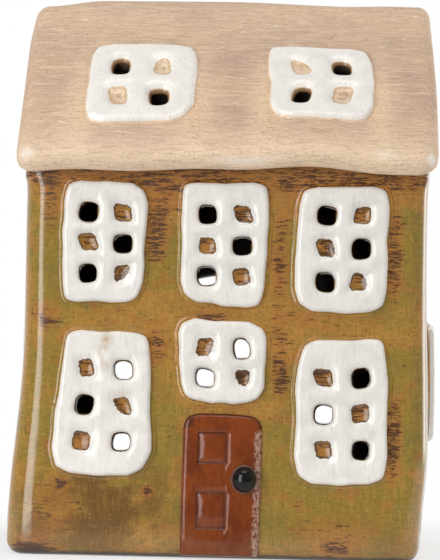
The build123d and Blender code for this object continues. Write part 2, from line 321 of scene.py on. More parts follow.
def amber_glaze(finish):
    """Colour and gloss of the runny amber glaze, with olive pools and dry brown brush marks; the same dark
    wash also lays painted shade under the eaves and at the foot.
    """
    pools = finish.noise(17, (1.2, 1, 1), 5, 0.62, (3, 1, 7))
    pools = finish.step(finish.plus(pools, finish.attribute("olive")), 0.45, 0.61)
    rust = finish.step(finish.noise(5, (1.5, 1.5, 1), 5, 0.7, (9, 4, 2)), 0.50, 0.66)
    green = finish.step(finish.noise(3.5, (1.5, 1.5, 1), 5, 0.7, (4, 9, 6)), 0.50, 0.66)
    runs = finish.noise(1.5, (1, 1, 6), 3, 0.6, (6, 2, 3))
    grain = finish.noise(0.7, (1.5, 1.5, 1), 5, 0.8, (7, 3, 1))
    warp = finish.noise(0.36, (9, 9, 1), 2, 0.6)
    weft = finish.noise(0.40, (1, 1, 9), 2, 0.6, (5, 5, 5))
    weave = finish.plus(warp, weft)
    colour = finish.blend(pools, AMBER, OLIVE)
    colour = finish.wash(colour, (0.190, 0.155, 0.032), green, 0.60)
    colour = finish.wash(colour, RUST, rust, 0.66)
    stained = finish.step(finish.noise(7, (1.3, 1, 1), 5, 0.65, (1, 6, 8)), 0.34, 0.58)
    colour = finish.blend(finish.times(finish.attribute("brown"), stained), colour, UMBER)
    pale_runs = finish.step(runs, 0.50, 0.70)
    colour = finish.wash(colour, (0.480, 0.260, 0.050), pale_runs, 0.22)
    dark_grain = finish.step(grain, 0.50, 0.66)
    colour = finish.wash(colour, (0.170, 0.100, 0.022), dark_grain, 0.75)
    pale_grain = finish.step(grain, 0.44, 0.30)
    colour = finish.wash(colour, (0.580, 0.350, 0.110), pale_grain, 0.5)
    dark_weave = finish.step(weave, 0.98, 1.2)
    colour = finish.wash(colour, (0.160, 0.092, 0.020), dark_weave, 0.34)
    pale_weave = finish.step(weave, 0.92, 0.72)
    colour = finish.wash(colour, (0.520, 0.315, 0.095), pale_weave, 0.22)
    streaks = finish.noise(0.34, (5, 5, 1), 4, 0.78, (1, 8, 3), 0.5)
    dabs = finish.noise(4.0, (1.5, 1.5, 1), 3, 0.6, (2, 2, 9))
    sweeps = finish.noise(0.7, (9, 9, 1), 3, 0.65, (4, 1, 6), 0.5)
    dry = finish.plus(finish.times(streaks, 1.2), finish.times(sweeps, 1.1))
    dry = finish.plus(dry, finish.times(dabs, 0.4))
    smoke = finish.times(finish.attribute("smoke"), 0.36)
    halo = finish.step(finish.attribute("smoke"), 0.06, 0.8)
    colour = finish.wash(colour, RUST, halo, 0.65)
    # The dark wash follows the brush marks, and also lays painted shade under the eaves and at the
    # bottom-left foot.
    brushed = finish.step(finish.plus(dry, smoke), 1.64, 1.71)
    colour = finish.wash(colour, SOOT_AND_SHADE, brushed, 0.88)
    speck = finish.step(finish.noise(0.9, (1, 1, 1), 1, 0.5, (7, 7, 7)), 0.74, 0.78)
    colour = finish.wash(colour, SOOT_AND_SHADE, speck, 0.8)
    fleck = finish.step(finish.noise(0.8, (1, 1, 1), 1, 0.5, (2, 9, 4)), 0.77, 0.80)
    colour = finish.wash(colour, (0.62, 0.50, 0.30), fleck, 0.3)
    relief = finish.bump(finish.noise(6, (1, 1, 1), 2, 0.5), 0.08)
    relief = finish.bump(weave, 0.006, relief)
    relief = finish.bump(streaks, 0.012, relief)
    rough = finish.plus(0.10, finish.times(brushed, 0.15))
    return colour, rough, relief


wall = Finish("amber_glaze")
wall_colour, wall_rough, wall_relief = amber_glaze(wall)
# A dark line painted along the foot, where the house meets the paper, is painted shade.
foot_shade = wall.step(wall.plus(wall.height(), wall.noise(4, (1, 1, 1), 2)), 2.2, 1.3)
wall_colour = wall.wash(wall_colour, (0.030, 0.018, 0.012), foot_shade, 0.85)
# Inside the house the glaze is painted near black, as painted shade.
wall_colour = wall.blend(wall.attribute("inside"), wall_colour, (0.030, 0.016, 0.010))
wall.surface(Base_Color=wall_colour, Roughness=wall_rough, Normal=wall_relief, IOR=1.6)

# Where the dry brush was dabbed on the front: across, up, half width, half height and strength.
# The mark at the bottom-left foot, 50 left and 1.5 up, is painted shade.
BRUSH_MARKS_AND_FOOT_SHADE = (
    (-46, 91, 3, 8, 0.6), (-16.0, 93, 6, 4, 0.45), (-17.8, 84, 3.2, 8, 1.15), (16.4, 92, 4, 7, 0.35),
    (14.6, 77, 2.4, 12, 1.0), (44.9, 79, 2.3, 14, 0.97), (-3.7, 62.5, 8, 1.8, 0.85), (-47, 61, 4, 4, 0.8),
    (-17.6, 54, 3.2, 5, 1.0), (15.0, 49, 2.6, 10, 0.95), (28, 60.5, 7, 1.5, 0.5), (45.0, 30, 2.6, 13, 1.05),
    (-43, 11, 8, 8, 0.55), (33, 8, 13, 5, 0.5), (30, 3, 6, 1.4, 0.8), (-40.8, 17, 1.4, 1.2, 1.5),
    (-19, 16, 1.6, 1.5, 1.4), (-50, 1.5, 9, 2.2, 1.5), (20, 63, 5, 2, 0.65), (-30, 63, 5, 1.2, 0.45),
    (13, 60, 4, 4, 0.35), (20, 14, 2, 1.5, 0.6), (-10, 3, 8, 2, 0.35),
)
BROWN_STAINS = (
    (-32, 12, 17, 12, 1.1), (0, 66, 50, 3, 0.15), (40, 4, 18, 5, 0.45), (-50, 6, 8, 9, 0.6),
    (-17, 12, 4, 14, 0.3),
)
# Where the glaze ran olive, and with a minus where it stayed amber
OLIVE_POOLS = (
    (-44, 72, 8, 18, 0.18), (-16, 75, 6, 10, 0.26), (18, 25, 7, 24, 0.18), (46, 42, 8, 22, 0.10),
    (32, 14, 22, 6, 0.14), (-17, 34, 6, 12, 0.14), (49, 80, 5, 16, 0.16), (-47, 36, 6, 22, 0.14),
    (-34, 67, 10, 4, 0.16), (17, 79, 4, 10, 0.16), (0, 98, 60, 9, -0.22), (20, 60, 14, 7, -0.24),
    (-14, 65, 20, 4, -0.16), (-22, 50, 4, 9, -0.12), (34, 5, 16, 4, -0.12),
)


def dabbed(marks, x, z):
    """How much paint the marks leave at each point of the wall."""
    amount = np.zeros(len(x))
    for across, up, half_width, half_height, strength in marks:
        off = ((x - across) / half_width) ** 2 + ((z - up) / half_height) ** 2
        amount += strength * np.exp(-(off ** 1.5))
    return amount


def paint(mesh, **coats):
    """Keeps values for the points of a mesh, under names that a finish can read."""
    for name, values in coats.items():
        mesh.attributes.new(name, "FLOAT", "POINT").data.foreach_set("value", np.clip(values, -1, 2))


def weather(mesh, along, z, under_roof, reach, shown=0):
    """Dry brush, brown stains and olive pools along a wall and up it, gone at its corners, and a dark,
    browner band under the eaves that is partly brushed glaze and partly painted shade of the overhang.
    """
    held = 1 - fade(np.abs(along), reach - 3, reach)
    # Under the eaves a dark band is painted: partly brushed glaze, partly painted shade of the overhang.
    eaves_brush_and_shade = 0.36 * fade(under_roof, 13.5, 7) + 0.44 * fade(under_roof, 8.8, 7.2)
    paint(
        mesh,
        smoke=shown + eaves_brush_and_shade + held * dabbed(BRUSH_MARKS_AND_FOOT_SHADE, along, z),
        brown=0.25 * fade(under_roof, 12, 5) + held * dabbed(BROWN_STAINS, along, z),
        olive=held * dabbed(OLIVE_POOLS, along, z),
    )


for node in ("base_slab", "front_wall", "rear_wall", "left_gable_wall", "right_gable_wall"):
    mesh, points = clay_slab(node, FRONT_NET if node == "front_wall" else SLAB_NET)
    x, y, z = points.T
    along, reach = (y, half_inside) if "gable" in node else (x, half_front)
    if "gable" not in node:
        round_corners(mesh, points)
    weather(mesh, along, z, roof_under - np.abs(y) - z, reach)
    # The inner faces of the walls and the floor are marked for the painted shade inside the house.
    hollow = (np.abs(y) < half_inside + 3) & (np.abs(x) < half_front - 4) & (z > floor_top - 0.1)
    paint(mesh, inside=0.95 * hollow)
    finish_piece(node, mesh, wall, "house")

# Roof slabs
# Two thicker slabs laid on the gables, mitred and rubbed together at the ridge, with a fat rolled nose
# at the eaves. They stay matt: a brushed coat of beige slip, streaked along the ridge.
SLIP = (0.610, 0.420, 0.283)
SLIP_PINK = (0.505, 0.340, 0.253)
SLIP_CREAM = (0.820, 0.630, 0.445)


def beige_slip(finish):
    """Colour and relief of the matt slip, brushed along the roof."""
    hairs = finish.noise(0.36, (16, 1, 1), 4, 0.75, (0, 3, 1), 0.5)
    pale_hairs = finish.noise(0.40, (14, 1, 1), 4, 0.75, (7, 1, 5), 0.5)
    brush = finish.noise(1.1, (9, 1, 1), 4, 0.65, (4, 0, 2), 0.6)
    cloud = finish.noise(20, (1.5, 1, 1), 4, 0.6, (5, 2, 4))
    grit = finish.noise(0.6, (1.4, 1, 1), 4, 0.75, (6, 6, 3))
    colour = finish.blend(finish.step(cloud, 0.40, 0.62), SLIP, SLIP_PINK)
    # Paler cream where the slip is worn; along the eaves nose this is partly painted highlight.
    colour = finish.blend(finish.attribute("worn"), colour, SLIP_CREAM)
    colour = finish.wash(colour, SLIP_CREAM, finish.step(brush, 0.48, 0.66), 0.50)
    colour = finish.wash(colour, (0.36, 0.235, 0.165), finish.step(hairs, 0.50, 0.62), 0.55)
    colour = finish.wash(colour, (0.86, 0.68, 0.50), finish.step(pale_hairs, 0.54, 0.66), 0.5)
    colour = finish.wash(colour, (0.40, 0.255, 0.175), finish.step(grit, 0.52, 0.66), 0.5)
    chalk = finish.step(finish.noise(1.8, (1.8, 1, 1), 4, 0.75, (2, 8, 6)), 0.62, 0.70)
    colour = finish.wash(colour, (0.86, 0.74, 0.60), chalk, 0.6)
    colour = finish.blend(finish.attribute("chalk"), colour, (0.88, 0.80, 0.70))
    rust = finish.times(finish.attribute("rust"), finish.step(grit, 0.40, 0.60))
    colour = finish.blend(rust, colour, (0.30, 0.12, 0.05))
    scraped = finish.times(finish.attribute("scraped"), finish.step(grit, 0.56, 0.46))
    colour = finish.blend(scraped, colour, (0.80, 0.555, 0.320))
    pits = finish.step(finish.noise(0.75, (1, 1, 1), 1, 0.5, (8, 8, 1)), 0.765, 0.79)
    colour = finish.wash(colour, (0.10, 0.055, 0.035), pits, 0.8)
    relief = finish.bump(finish.noise(8, (1, 1, 1), 2), 0.30)
    relief = finish.bump(brush, 0.10, relief)
    relief = finish.bump(hairs, 0.06, relief)
    relief = finish.bump(grit, 0.06, relief)
    return colour, relief


roof = Finish("brushed_slip")
roof_colour, roof_relief = beige_slip(roof)
# Deep in the holes behind the roof windows the slip is painted near black, as painted shade.
roof_colour = roof.blend(roof.attribute("inside"), roof_colour, (0.022, 0.013, 0.009))
roof.surface(Base_Color=roof_colour, Roughness=0.75, Normal=roof_relief, IOR=1.45)

ROOF_WINDOW_X = 24.2
# Chalky and rusty spots on the front slope: across, up, half width, half height and strength
CHALK_DABS = (
    (53, 106, 1.2, 1.6, 1.0), (41, 107, 2, 1.2, 0.5), (-52, 107, 2, 1.6, 0.6), (5, 104, 9, 1.0, 0.5),
)
RUST_DABS = ((25, 111, 3, 0.7, 1.0), (10, 113, 1.5, 3, 0.5), (-9, 118, 1.0, 8, 0.35))
for node in ("front_roof_slab", "rear_roof_slab"):
    mesh, points = clay_slab(node)
    x, y, z = points.T
    front = y < 0
    outward = (z + np.abs(y)) / math.sqrt(2)
    depth = outward.max() - outward
    off_window = np.abs(np.abs(x) - ROOF_WINDOW_X)
    beside_windows = hump(off_window, 15.5, 3.5) * hump(z, 121, 13)
    close_by = hump(off_window, 15.0, 2.4) * hump(z, 118, 8)
    behind_plaque = (off_window < 12) & (np.abs(z - 122) < 16) & front
    # The slip is painted paler along the eaves nose, partly rubbed slip and partly painted highlight, and a
    # little paler at the ridge.
    rubbed_and_lit = 0.85 * (1 - fade(z, 103, 117)) + 0.3 * fade(z, 132, 148)
    paint(
        mesh,
        worn=rubbed_and_lit + 0.6 * beside_windows * front,
        scraped=0.75 * close_by * front,
        chalk=front * dabbed(CHALK_DABS, x, z),
        rust=front * dabbed(RUST_DABS, x, z),
        # painted shade deep in the holes behind the roof windows
        inside=behind_plaque * fade(depth, 0.8, 2.0),
    )
    finish_piece(node, mesh, roof, "house")

# Window plaques
# Thin plaques of clay pressed onto the walls and the roof and cut in panes, every other one right through.
# Thick white enamel was laid on by brush: it rounds every edge, runs into the blind panes and leaves the
# plaque's sides bare.
X, Y, Z = Vector((1, 0, 0)), Vector((0, 1, 0)), Vector((0, 0, 1))
slope_up = (Y + Z).normalized()
PLAQUE = 2.0
PLAQUE_SUNK = 0.3
ENAMEL_SHORT = 0.5
LIP = 0.6
PANE_LINES = 4
RIM_INSETS = (0, 0.7, 1.9)
RIM_DROPS = (1.1, 0.05, 0.16)
BAR_RIDGE = 0.04
PANE_DROP = 0.14
BLIND_SPREAD = 1.16
BLIND_CORNER = 1.2
PIERCED_CORNER = 0.84
SIDE_OUT = 1.03
SIDE_SHARE = 0.42
FIELD_SHARE = 0.62
FRONT_TAPER = 0.06
BACK_TAPER = -0.14
ROOF_BACK_TAPER = -0.3
BACK_SHIFT = 0.2
CUT_STRAY = 0.16
ENAMEL_STRAY = 0.5
ENAMEL_FILL = 1.1
BARE_SHARE = 0.94
OUTLINE_WAVES = (3, 5, 7, 10, 13)
# The bead of glaze round a plaque, in steps: how far out, and how high over the wall
BEAD = ((0.4, 0.20), (0.95, 0.50), (1.5, -0.3))
# Tan glaze spilt on one plaque: across, up, half width, half height and strength
SPILLS = ((-30.9, 53.0, 1.8, 3.6, 1.8), (-27, 40, 2, 2, 0.6))
draw = random.Random(17)


def plaque_lines(half, panes, half_pane):
    """Net lines across a plaque: three near each rim, four at each pane, one along each glazing bar."""
    lines = [-half + inset for inset in RIM_INSETS]
    for before, middle in zip([None, *panes], panes):
        if before is not None:
            lines.append((before + middle) / 2)
        lines += [middle - half_pane, middle - half_pane + LIP, middle + half_pane - LIP, middle + half_pane]
    return lines + [half - inset for inset in reversed(RIM_INSETS)]


def pane_at(i, j):
    """The column and row of panes that a net point or cell lies in, and its place in that pane."""
    column, across = divmod(i - len(RIM_INSETS), PANE_LINES + 1)
    row, along = divmod(j - len(RIM_INSETS), PANE_LINES + 1)
    return (column, row), across, along


def lines_in(i, j, us, vs):
    """How many net lines a point lies in from the nearest rim."""
    return min(i, j, len(us) - 1 - i, len(vs) - 1 - j)


def face_height(i, j, us, vs):
    """Height of the enamel over the wall: rounded down at the rim, dished, and proud along the bars."""
    inset = lines_in(i, j, us, vs)
    if inset < len(RIM_DROPS):
        return PLAQUE - RIM_DROPS[inset]
    on_bar = PANE_LINES in pane_at(i, j)[1:]
    return PLAQUE + BAR_RIDGE if on_bar else PLAQUE


def sheet_points(us, vs):
    """Every point of a sheet's net, the back layer first."""
    return [(layer, i, j) for layer in range(2) for i in range(len(us)) for j in range(len(vs))]


def sheet_faces(net, grid, cells):
    """The front and back faces of a sheet, cell by cell."""
    for i, j in cells:
        net.faces.new([grid[1, i, j], grid[1, i + 1, j], grid[1, i + 1, j + 1], grid[1, i, j + 1]])
        net.faces.new([grid[0, i, j + 1], grid[0, i + 1, j + 1], grid[0, i + 1, j], grid[0, i, j]])


def corner_round(u, v, half_u, half_v, radius):
    """Draws a rectangle's corners in to a radius, and leaves its middle alone."""
    over_u = max(abs(u) - (half_u - radius), 0)
    over_v = max(abs(v) - (half_v - radius), 0)
    if over_u == 0 or over_v == 0:
        return u, v
    reach = max(over_u, over_v) / math.hypot(over_u, over_v)
    new_u = half_u - radius + over_u * reach
    new_v = half_v - radius + over_v * reach
    return math.copysign(new_u, u), math.copysign(new_v, v)


def pane_shape(i, j, half_u, half_v, corner):
    """One of the sixteen points of a pane: a square with its corners rubbed round."""
    ends = (0, PANE_LINES - 1)
    if i in ends and j in ends:
        share_u = share_v = corner
    elif i in ends:
        share_u, share_v = SIDE_OUT, SIDE_SHARE
    elif j in ends:
        share_u, share_v = SIDE_SHARE, SIDE_OUT
    else:
        share_u = share_v = FIELD_SHARE
    return math.copysign(share_u * half_u, i - 1.5), math.copysign(share_v * half_v, j - 1.5)


def cut_panes(rows, first_pierced):
    """How each pane was cut: whether it is blind, its lean, its width and height, and its turn."""
    cuts = {}
    for column in range(2):
        for row in range(rows):
            blind = (rows - 1 - row + column) % 2 != first_pierced
            spread = BLIND_SPREAD if blind else 1.0
            turn = draw.uniform(-0.12, 0.12)
            wide = spread * draw.uniform(0.97, 1.1)
            high = spread * draw.uniform(0.97, 1.08)
            skew = draw.uniform(-0.25, 0.25) if blind else draw.uniform(-0.08, 0.08)
            cuts[column, row] = (blind, turn + skew, wide, high, turn)
    return cuts


def pushed(corners, share_u, share_v, axis):
    """How far the pushed corners carry a point, by its share of the way across and up."""
    top_left, top_right, bottom_right, bottom_left = [corner[axis] for corner in corners]
    low = bottom_left * (1 - share_u) + bottom_right * share_u
    top = top_left * (1 - share_u) + top_right * share_u
    return low * (1 - share_v) + top * share_v


def pane_point(layer, across, along, cut, pane, back_taper, rise):
    """A point of a cut pane: its place from the pane's middle, its height, and how sooty and deep it is."""
    blind, lean, wide, high, turn = cut
    corner = BLIND_CORNER if blind else PIERCED_CORNER
    square_u, square_v = pane_shape(across, along, pane[0] / 2, pane[1] / 2, corner)
    u = wide * square_u - lean * square_v
    v = high * square_v + turn * square_u
    smoke = deep = 0.0
    if layer:
        rise -= PANE_DROP
    if layer and blind and across in (1, 2) and along in (1, 2):
        rise = draw.uniform(-0.1, 0.6) if draw.random() < BARE_SHARE else ENAMEL_FILL
        smoke = draw.uniform(0.5, 1.15)
        u += draw.uniform(-ENAMEL_STRAY, ENAMEL_STRAY)
        v += draw.uniform(-ENAMEL_STRAY, ENAMEL_STRAY)
    elif not blind:
        deep = 1 - layer
        taper = FRONT_TAPER if layer else back_taper
        u += taper * square_u + draw.uniform(-CUT_STRAY, CUT_STRAY) + BACK_SHIFT * deep
        v += taper * square_v + draw.uniform(-CUT_STRAY, CUT_STRAY) - BACK_SHIFT * deep
    return u, v, rise, smoke, deep


def plaque_sides(net, grid, cells, open_cells, crisp, bead_point):
    """The walls of a plaque's pierced panes, and the bead of glaze round its rim."""
    for i, j in cells:
        edges = (
            ((i, j), (i + 1, j), (i, j - 1)),
            ((i + 1, j), (i + 1, j + 1), (i + 1, j)),
            ((i + 1, j + 1), (i, j + 1), (i, j + 1)),
            ((i, j + 1), (i, j), (i - 1, j)),
        )
        for start, end, beyond in edges:
            if beyond in cells:
                continue
            if beyond in open_cells:
                net.faces.new([grid[0, *start], grid[0, *end], grid[1, *end], grid[1, *start]])
                net.edges.get([grid[0, *start], grid[0, *end]])[crisp] = 1.0
                continue
            edge = [grid[1, *start], grid[1, *end]]
            for step, (out, rise) in enumerate(BEAD):
                ring = [bead_point(step, spot, out, rise) for spot in (start, end)]
                net.faces.new([ring[0], ring[1], edge[1], edge[0]])
                edge = ring
            net.faces.new([grid[0, *start], grid[0, *end], edge[1], edge[0]])


def window_plaque(node, seat, right, up, pattern, first_pierced, corners):
    """A plaque's enamelled sheet, bent with the wall. Corners: how each was pushed, and its radius."""
    size, rows, pitch, pane = pattern
    half_u, half_v = size[0] / 2 - ENAMEL_SHORT, size[1] / 2
    columns = [-pitch[0] / 2, pitch[0] / 2]
    levels = [(row - (rows - 1) / 2) * pitch[1] for row in range(rows)]
    us = plaque_lines(half_u, columns, pane[0] / 2)
    vs = plaque_lines(half_v, levels, pane[1] / 2)
    outward = right.cross(up)
    waves = [(k, draw.uniform(0, 6.28), draw.uniform(0.06, 0.16)) for k in OUTLINE_WAVES]
    cuts = cut_panes(rows, first_pierced)
    sides = ((False, True), (True, True), (True, False), (False, False))
    radii = {side: corner[2] for side, corner in zip(sides, corners)}
    back_taper = ROOF_BACK_TAPER if up is slope_up else BACK_TAPER
    down_sides = 0.55 if "gable" in node else 0.0
    net = bmesh.new()
    height = net.verts.layers.float.new("rise")
    dabs = net.verts.layers.float.new("smoke")
    torn = net.verts.layers.float.new("ragged")
    pit = net.verts.layers.float.new("deep")
    crisp = net.edges.layers.float.new("crease_edge")
    grid = {}
    beads = {}

    def bead_point(step, spot, out, rise):
        """A point of the glaze bead that runs round the plaque, made once for its two faces."""
        if (step, *spot) not in beads:
            rim_spot = grid[1, *spot].co - seat
            u, v = rim_spot.dot(right), rim_spot.dot(up)
            away = (right * (u / half_u) ** 5 + up * (v / half_v) ** 5).normalized()
            swell = 0.55 + 0.45 * math.sin(2.6 * math.atan2(v, u) + waves[0][1])
            lift = rise * swell if rise > 0 else rise
            vert = net.verts.new(seat + right * u + up * v + away * out + outward * lift)
            vert[height] = lift + down_sides * 0.6
            vert[torn] = 0.2
            beads[step, *spot] = vert
        return beads[step, *spot]

    for layer, i, j in sheet_points(us, vs):
        u0, v0 = us[i], vs[j]
        u, v = corner_round(u0, v0, half_u, half_v, radii[u0 > 0, v0 > 0])
        share_u, share_v = (1 + u0 / half_u) / 2, (1 + v0 / half_v) / 2
        rim = max(abs(u0) / half_u, abs(v0) / half_v) ** 4
        around = math.atan2(v / half_v, u / half_u)
        wave = sum(depth * math.sin(k * around + phase) for k, phase, depth in waves)
        u += rim * (pushed(corners, share_u, share_v, 0) + wave * math.cos(around))
        v += rim * (pushed(corners, share_u, share_v, 1) + wave * math.sin(around))
        rise = face_height(i, j, us, vs) if layer else -PLAQUE_SUNK
        ragged, smoke, deep = 0.25, 0.0, 0.0
        spot, across, along = pane_at(i, j)
        if spot in cuts and max(across, along) < PANE_LINES:
            cut = cuts[spot]
            cut_u, cut_v, rise, smoke, deep = pane_point(layer, across, along, cut, pane, back_taper, rise)
            u += columns[spot[0]] + cut_u - u0
            v += levels[spot[1]] + cut_v - v0
            ragged = 0.9 if cut[0] else 0.6
        vert = net.verts.new(seat + right * u + up * v + outward * rise)
        vert[height] = rise + down_sides * (lines_in(i, j, us, vs) == 0)
        vert[dabs] = smoke
        vert[torn] = ragged
        vert[pit] = deep
        grid[layer, i, j] = vert
    every_cell = [(i, j) for i in range(len(us) - 1) for j in range(len(vs) - 1)]
    open_cells = set()
    for cell in every_cell:
        spot, across, along = pane_at(*cell)
        if spot in cuts and not cuts[spot][0] and max(across, along) < PANE_LINES - 1:
            open_cells.add(cell)
    cells = [cell for cell in every_cell if cell not in open_cells]
    sheet_faces(net, grid, cells)
    plaque_sides(net, grid, cells, open_cells, crisp, bead_point)
    loose = [vert for vert in net.verts if not vert.link_faces]
    bmesh.ops.delete(net, geom=loose, context="VERTS")
    at_rest = np.array([vert.co for vert in net.verts])
    shown = np.array([vert[dabs] for vert in net.verts])
    mesh = bent_mesh(node + "_enamel", net)
    mesh.attributes.remove(mesh.attributes["smoke"])
    x, y, z = at_rest.T
    weather(mesh, y if abs(right.y) else x, z, roof_under - np.abs(y) - z, half_front, shown)
    paint(mesh, worn=np.ones(len(x)), spill=dabbed(SPILLS, x, z) * (y < 0))
    return mesh


def enamel_over(name, bare_clay, whites, rim_shade_colour, pit_shade_colour):
    """White enamel, thick on the plaque's face, over clay that shows where the enamel stopped."""
    enamel = Finish(name)
    bare = bare_clay(enamel)[0]
    milk = enamel.noise(5, (1, 1, 1), 3, 0.6, (6, 1, 2))
    thick = enamel.blend(enamel.step(milk, 0.40, 0.68), *whites)
    bristles = enamel.noise(0.5, (1, 1, 10), 3, 0.6, (2, 5, 2))
    thick = enamel.wash(thick, (0.54, 0.530, 0.515), enamel.step(bristles, 0.53, 0.70), 0.42)
    stain = enamel.step(enamel.noise(3.0, (1, 1, 1), 3, 0.65, (1, 9, 5)), 0.70, 0.78)
    thick = enamel.wash(thick, (0.56, 0.42, 0.27), stain, 0.45)
    spill = enamel.times(enamel.attribute("spill"), enamel.step(milk, 0.35, 0.60))
    thick = enamel.wash(thick, (0.52, 0.36, 0.22), spill, 0.8)
    ragged = enamel.noise(0.9, (1, 1, 1), 4, 0.65)
    tear = enamel.times(enamel.math("SUBTRACT", ragged, 0.5), enamel.attribute("ragged"))
    white = enamel.step(enamel.plus(enamel.attribute("rise"), tear), 0.88, 0.98)
    # A line in the rim colour is painted round the panes where the enamel stops, mostly the blind ones:
    # painted shade.
    edge = enamel.step(enamel.plus(enamel.attribute("rise"), tear), 0.30, 0.70)
    edge = enamel.times(edge, enamel.step(enamel.attribute("ragged"), 0.55, 0.75))
    edge = enamel.times(edge, enamel.step(ragged, 0.30, 0.55))
    bare = enamel.wash(bare, rim_shade_colour, edge, 0.85)
    # The back of each pierced pane is painted in the pit colour, as painted shade deep in the hole.
    bare = enamel.blend(enamel.step(enamel.attribute("deep"), 0.46, 0.62), bare, pit_shade_colour)
    relief = enamel.bump(enamel.noise(3.5, (1, 1, 1), 3, 0.6, (3, 3, 3)), 0.26)
    relief = enamel.bump(bristles, 0.05, relief)
    colour = enamel.blend(white, bare, thick)
    return enamel.surface(Base_Color=colour, Roughness=0.14, Normal=relief, IOR=1.55)


def middle_of(node):
    """The middle of a CAD node's box, in millimetres."""
    low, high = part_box(node)
    return (low + high) / 2 / MM


WALL_WHITES = ((0.785, 0.755, 0.700), (0.71, 0.682, 0.640))
ROOF_WHITES = ((0.865, 0.825, 0.760), (0.80, 0.763, 0.710))
on_amber = enamel_over(
    "white_enamel", amber_glaze, WALL_WHITES, (0.050, 0.026, 0.012), (0.030, 0.014, 0.007)
)
on_slip = enamel_over(
    "white_enamel_on_slip", beige_slip, ROOF_WHITES, (0.56, 0.36, 0.19), (0.30, 0.17, 0.085)
)
# Kinds of plaque: width and height, rows of panes, pitch of the panes, and a pane's size
SIX_UPPER = ((24.0, 32.6), 3, (9.2, 8.4), (4.8, 5.1))
SIX_LOWER = ((25.3, 37.5), 3, (9.9, 9.4), (4.8, 5.1))
FOUR_DOOR = ((24.2, 21.8), 2, (9.7, 7.9), (4.8, 5.1))
FOUR_ROOF = ((29.5, 31.0), 2, (10.8, 12.0), (5.6, 7.2))
# Which way each plaque faces, its pattern, its first pierced pane, and how far each corner was pushed
# and rounded: top left, top right, bottom right, bottom left
windows = {
    "window_upper_left": (
        X, Z, SIX_UPPER, 0, ((0.3, 0.6, 4.5), (0, 0.1, 5.2), (-1.9, 0, 5.5), (0, -0.2, 4.2))
    ),
    "window_upper_middle": (
        X, Z, SIX_UPPER, 0, ((0, 0.5, 3.6), (0.4, 0.7, 4.2), (-1.0, -0.9, 4.4), (0.3, 1.3, 4.6))
    ),
    "window_upper_right": (
        X, Z, SIX_UPPER, 0, ((-0.4, -0.3, 5.0), (0.1, -0.2, 4.2), (0.2, -0.5, 4.6), (-1.5, -0.2, 5.4))
    ),
    "window_lower_left": (
        X, Z, SIX_LOWER, 1, ((1.3, 0.5, 3.8), (0.2, 0.7, 4.6), (0.5, 0.1, 6.6), (-0.9, 0.2, 7.6))
    ),
    "window_over_door": (
        X, Z, FOUR_DOOR, 1, ((-0.3, 0.1, 4.6), (0, -0.6, 6.0), (-0.8, -0.5, 5.6), (0.5, 0.2, 4.6))
    ),
    "window_lower_right": (
        X, Z, SIX_LOWER, 1, ((0.6, 0.6, 6.2), (-0.5, 1.0, 3.8), (0.2, 0.2, 5.0), (-0.8, 0.1, 6.8))
    ),
    "roof_window_left": (
        X, slope_up, FOUR_ROOF, 0, ((1.0, -0.3, 5.2), (1.2, 0.2, 4.6), (0.4, 0.6, 7.0), (0.4, 0, 6.0))
    ),
    "roof_window_right": (
        X, slope_up, FOUR_ROOF, 1, ((0, 0.2, 4.2), (-0.6, -1.0, 4.6), (-0.3, 0.4, 6.6), (0.8, 1.0, 6.0))
    ),
    "window_left_gable": (
        -Y, Z, SIX_UPPER, 0, ((0.3, 0, 4.4), (0, -0.6, 5.0), (-0.8, 0.3, 5.6), (0.4, 0, 4.6))
    ),
    "window_right_gable": (
        Y, Z, SIX_UPPER, 0, ((0, -0.5, 5.0), (0.5, 0, 4.2), (-0.5, 0.4, 5.2), (0, 0.6, 5.6))
    ),
}
for node, (right, up, pattern, first_pierced, corners) in windows.items():
    seat = middle_of(node) - right.cross(up) * PLAQUE / 2
    mesh = window_plaque(node, seat, right, up, pattern, first_pierced, corners)
    enamel = on_slip if up is slope_up else on_amber
    plaque = finish_piece(node, mesh, enamel, "house")
    soften = plaque.modifiers.new("soften", "SUBSURF")
    soften.levels = soften.render_levels = 2

# Door
# A slab with two square panels scored into its face, pressed on over the rounded foot and brushed with
# red-brown glaze that pools dark in the grooves.
DOOR_DEPTH = 1.8
DOOR_SUNK = 1.2
EDGE_DROP = 0.9
SHOULDER_DROP = 0.12
RIGHT_SHOULDER_DROP = 0.45
TOP_CORNER = 3.6
FOOT_CORNER = 0.8
PANEL = (7.2, 8.0)
PANEL_X = -2.5
PANEL_LEVELS = (11.8, 27.6)
GROOVE = 0.65
GROOVE_DEPTH = 0.95
PANEL_SWELL = 0.12
door_low, door_high = [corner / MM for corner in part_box("door")]


def panel_lines(middle, half):
    """Lines across a panel: the groove's two lips and its bed on each side."""
    lines = []
    for side in (-1, 1):
        lines += [middle + side * half + step * GROOVE for step in (-0.5, 0, 0.5)]
    return lines


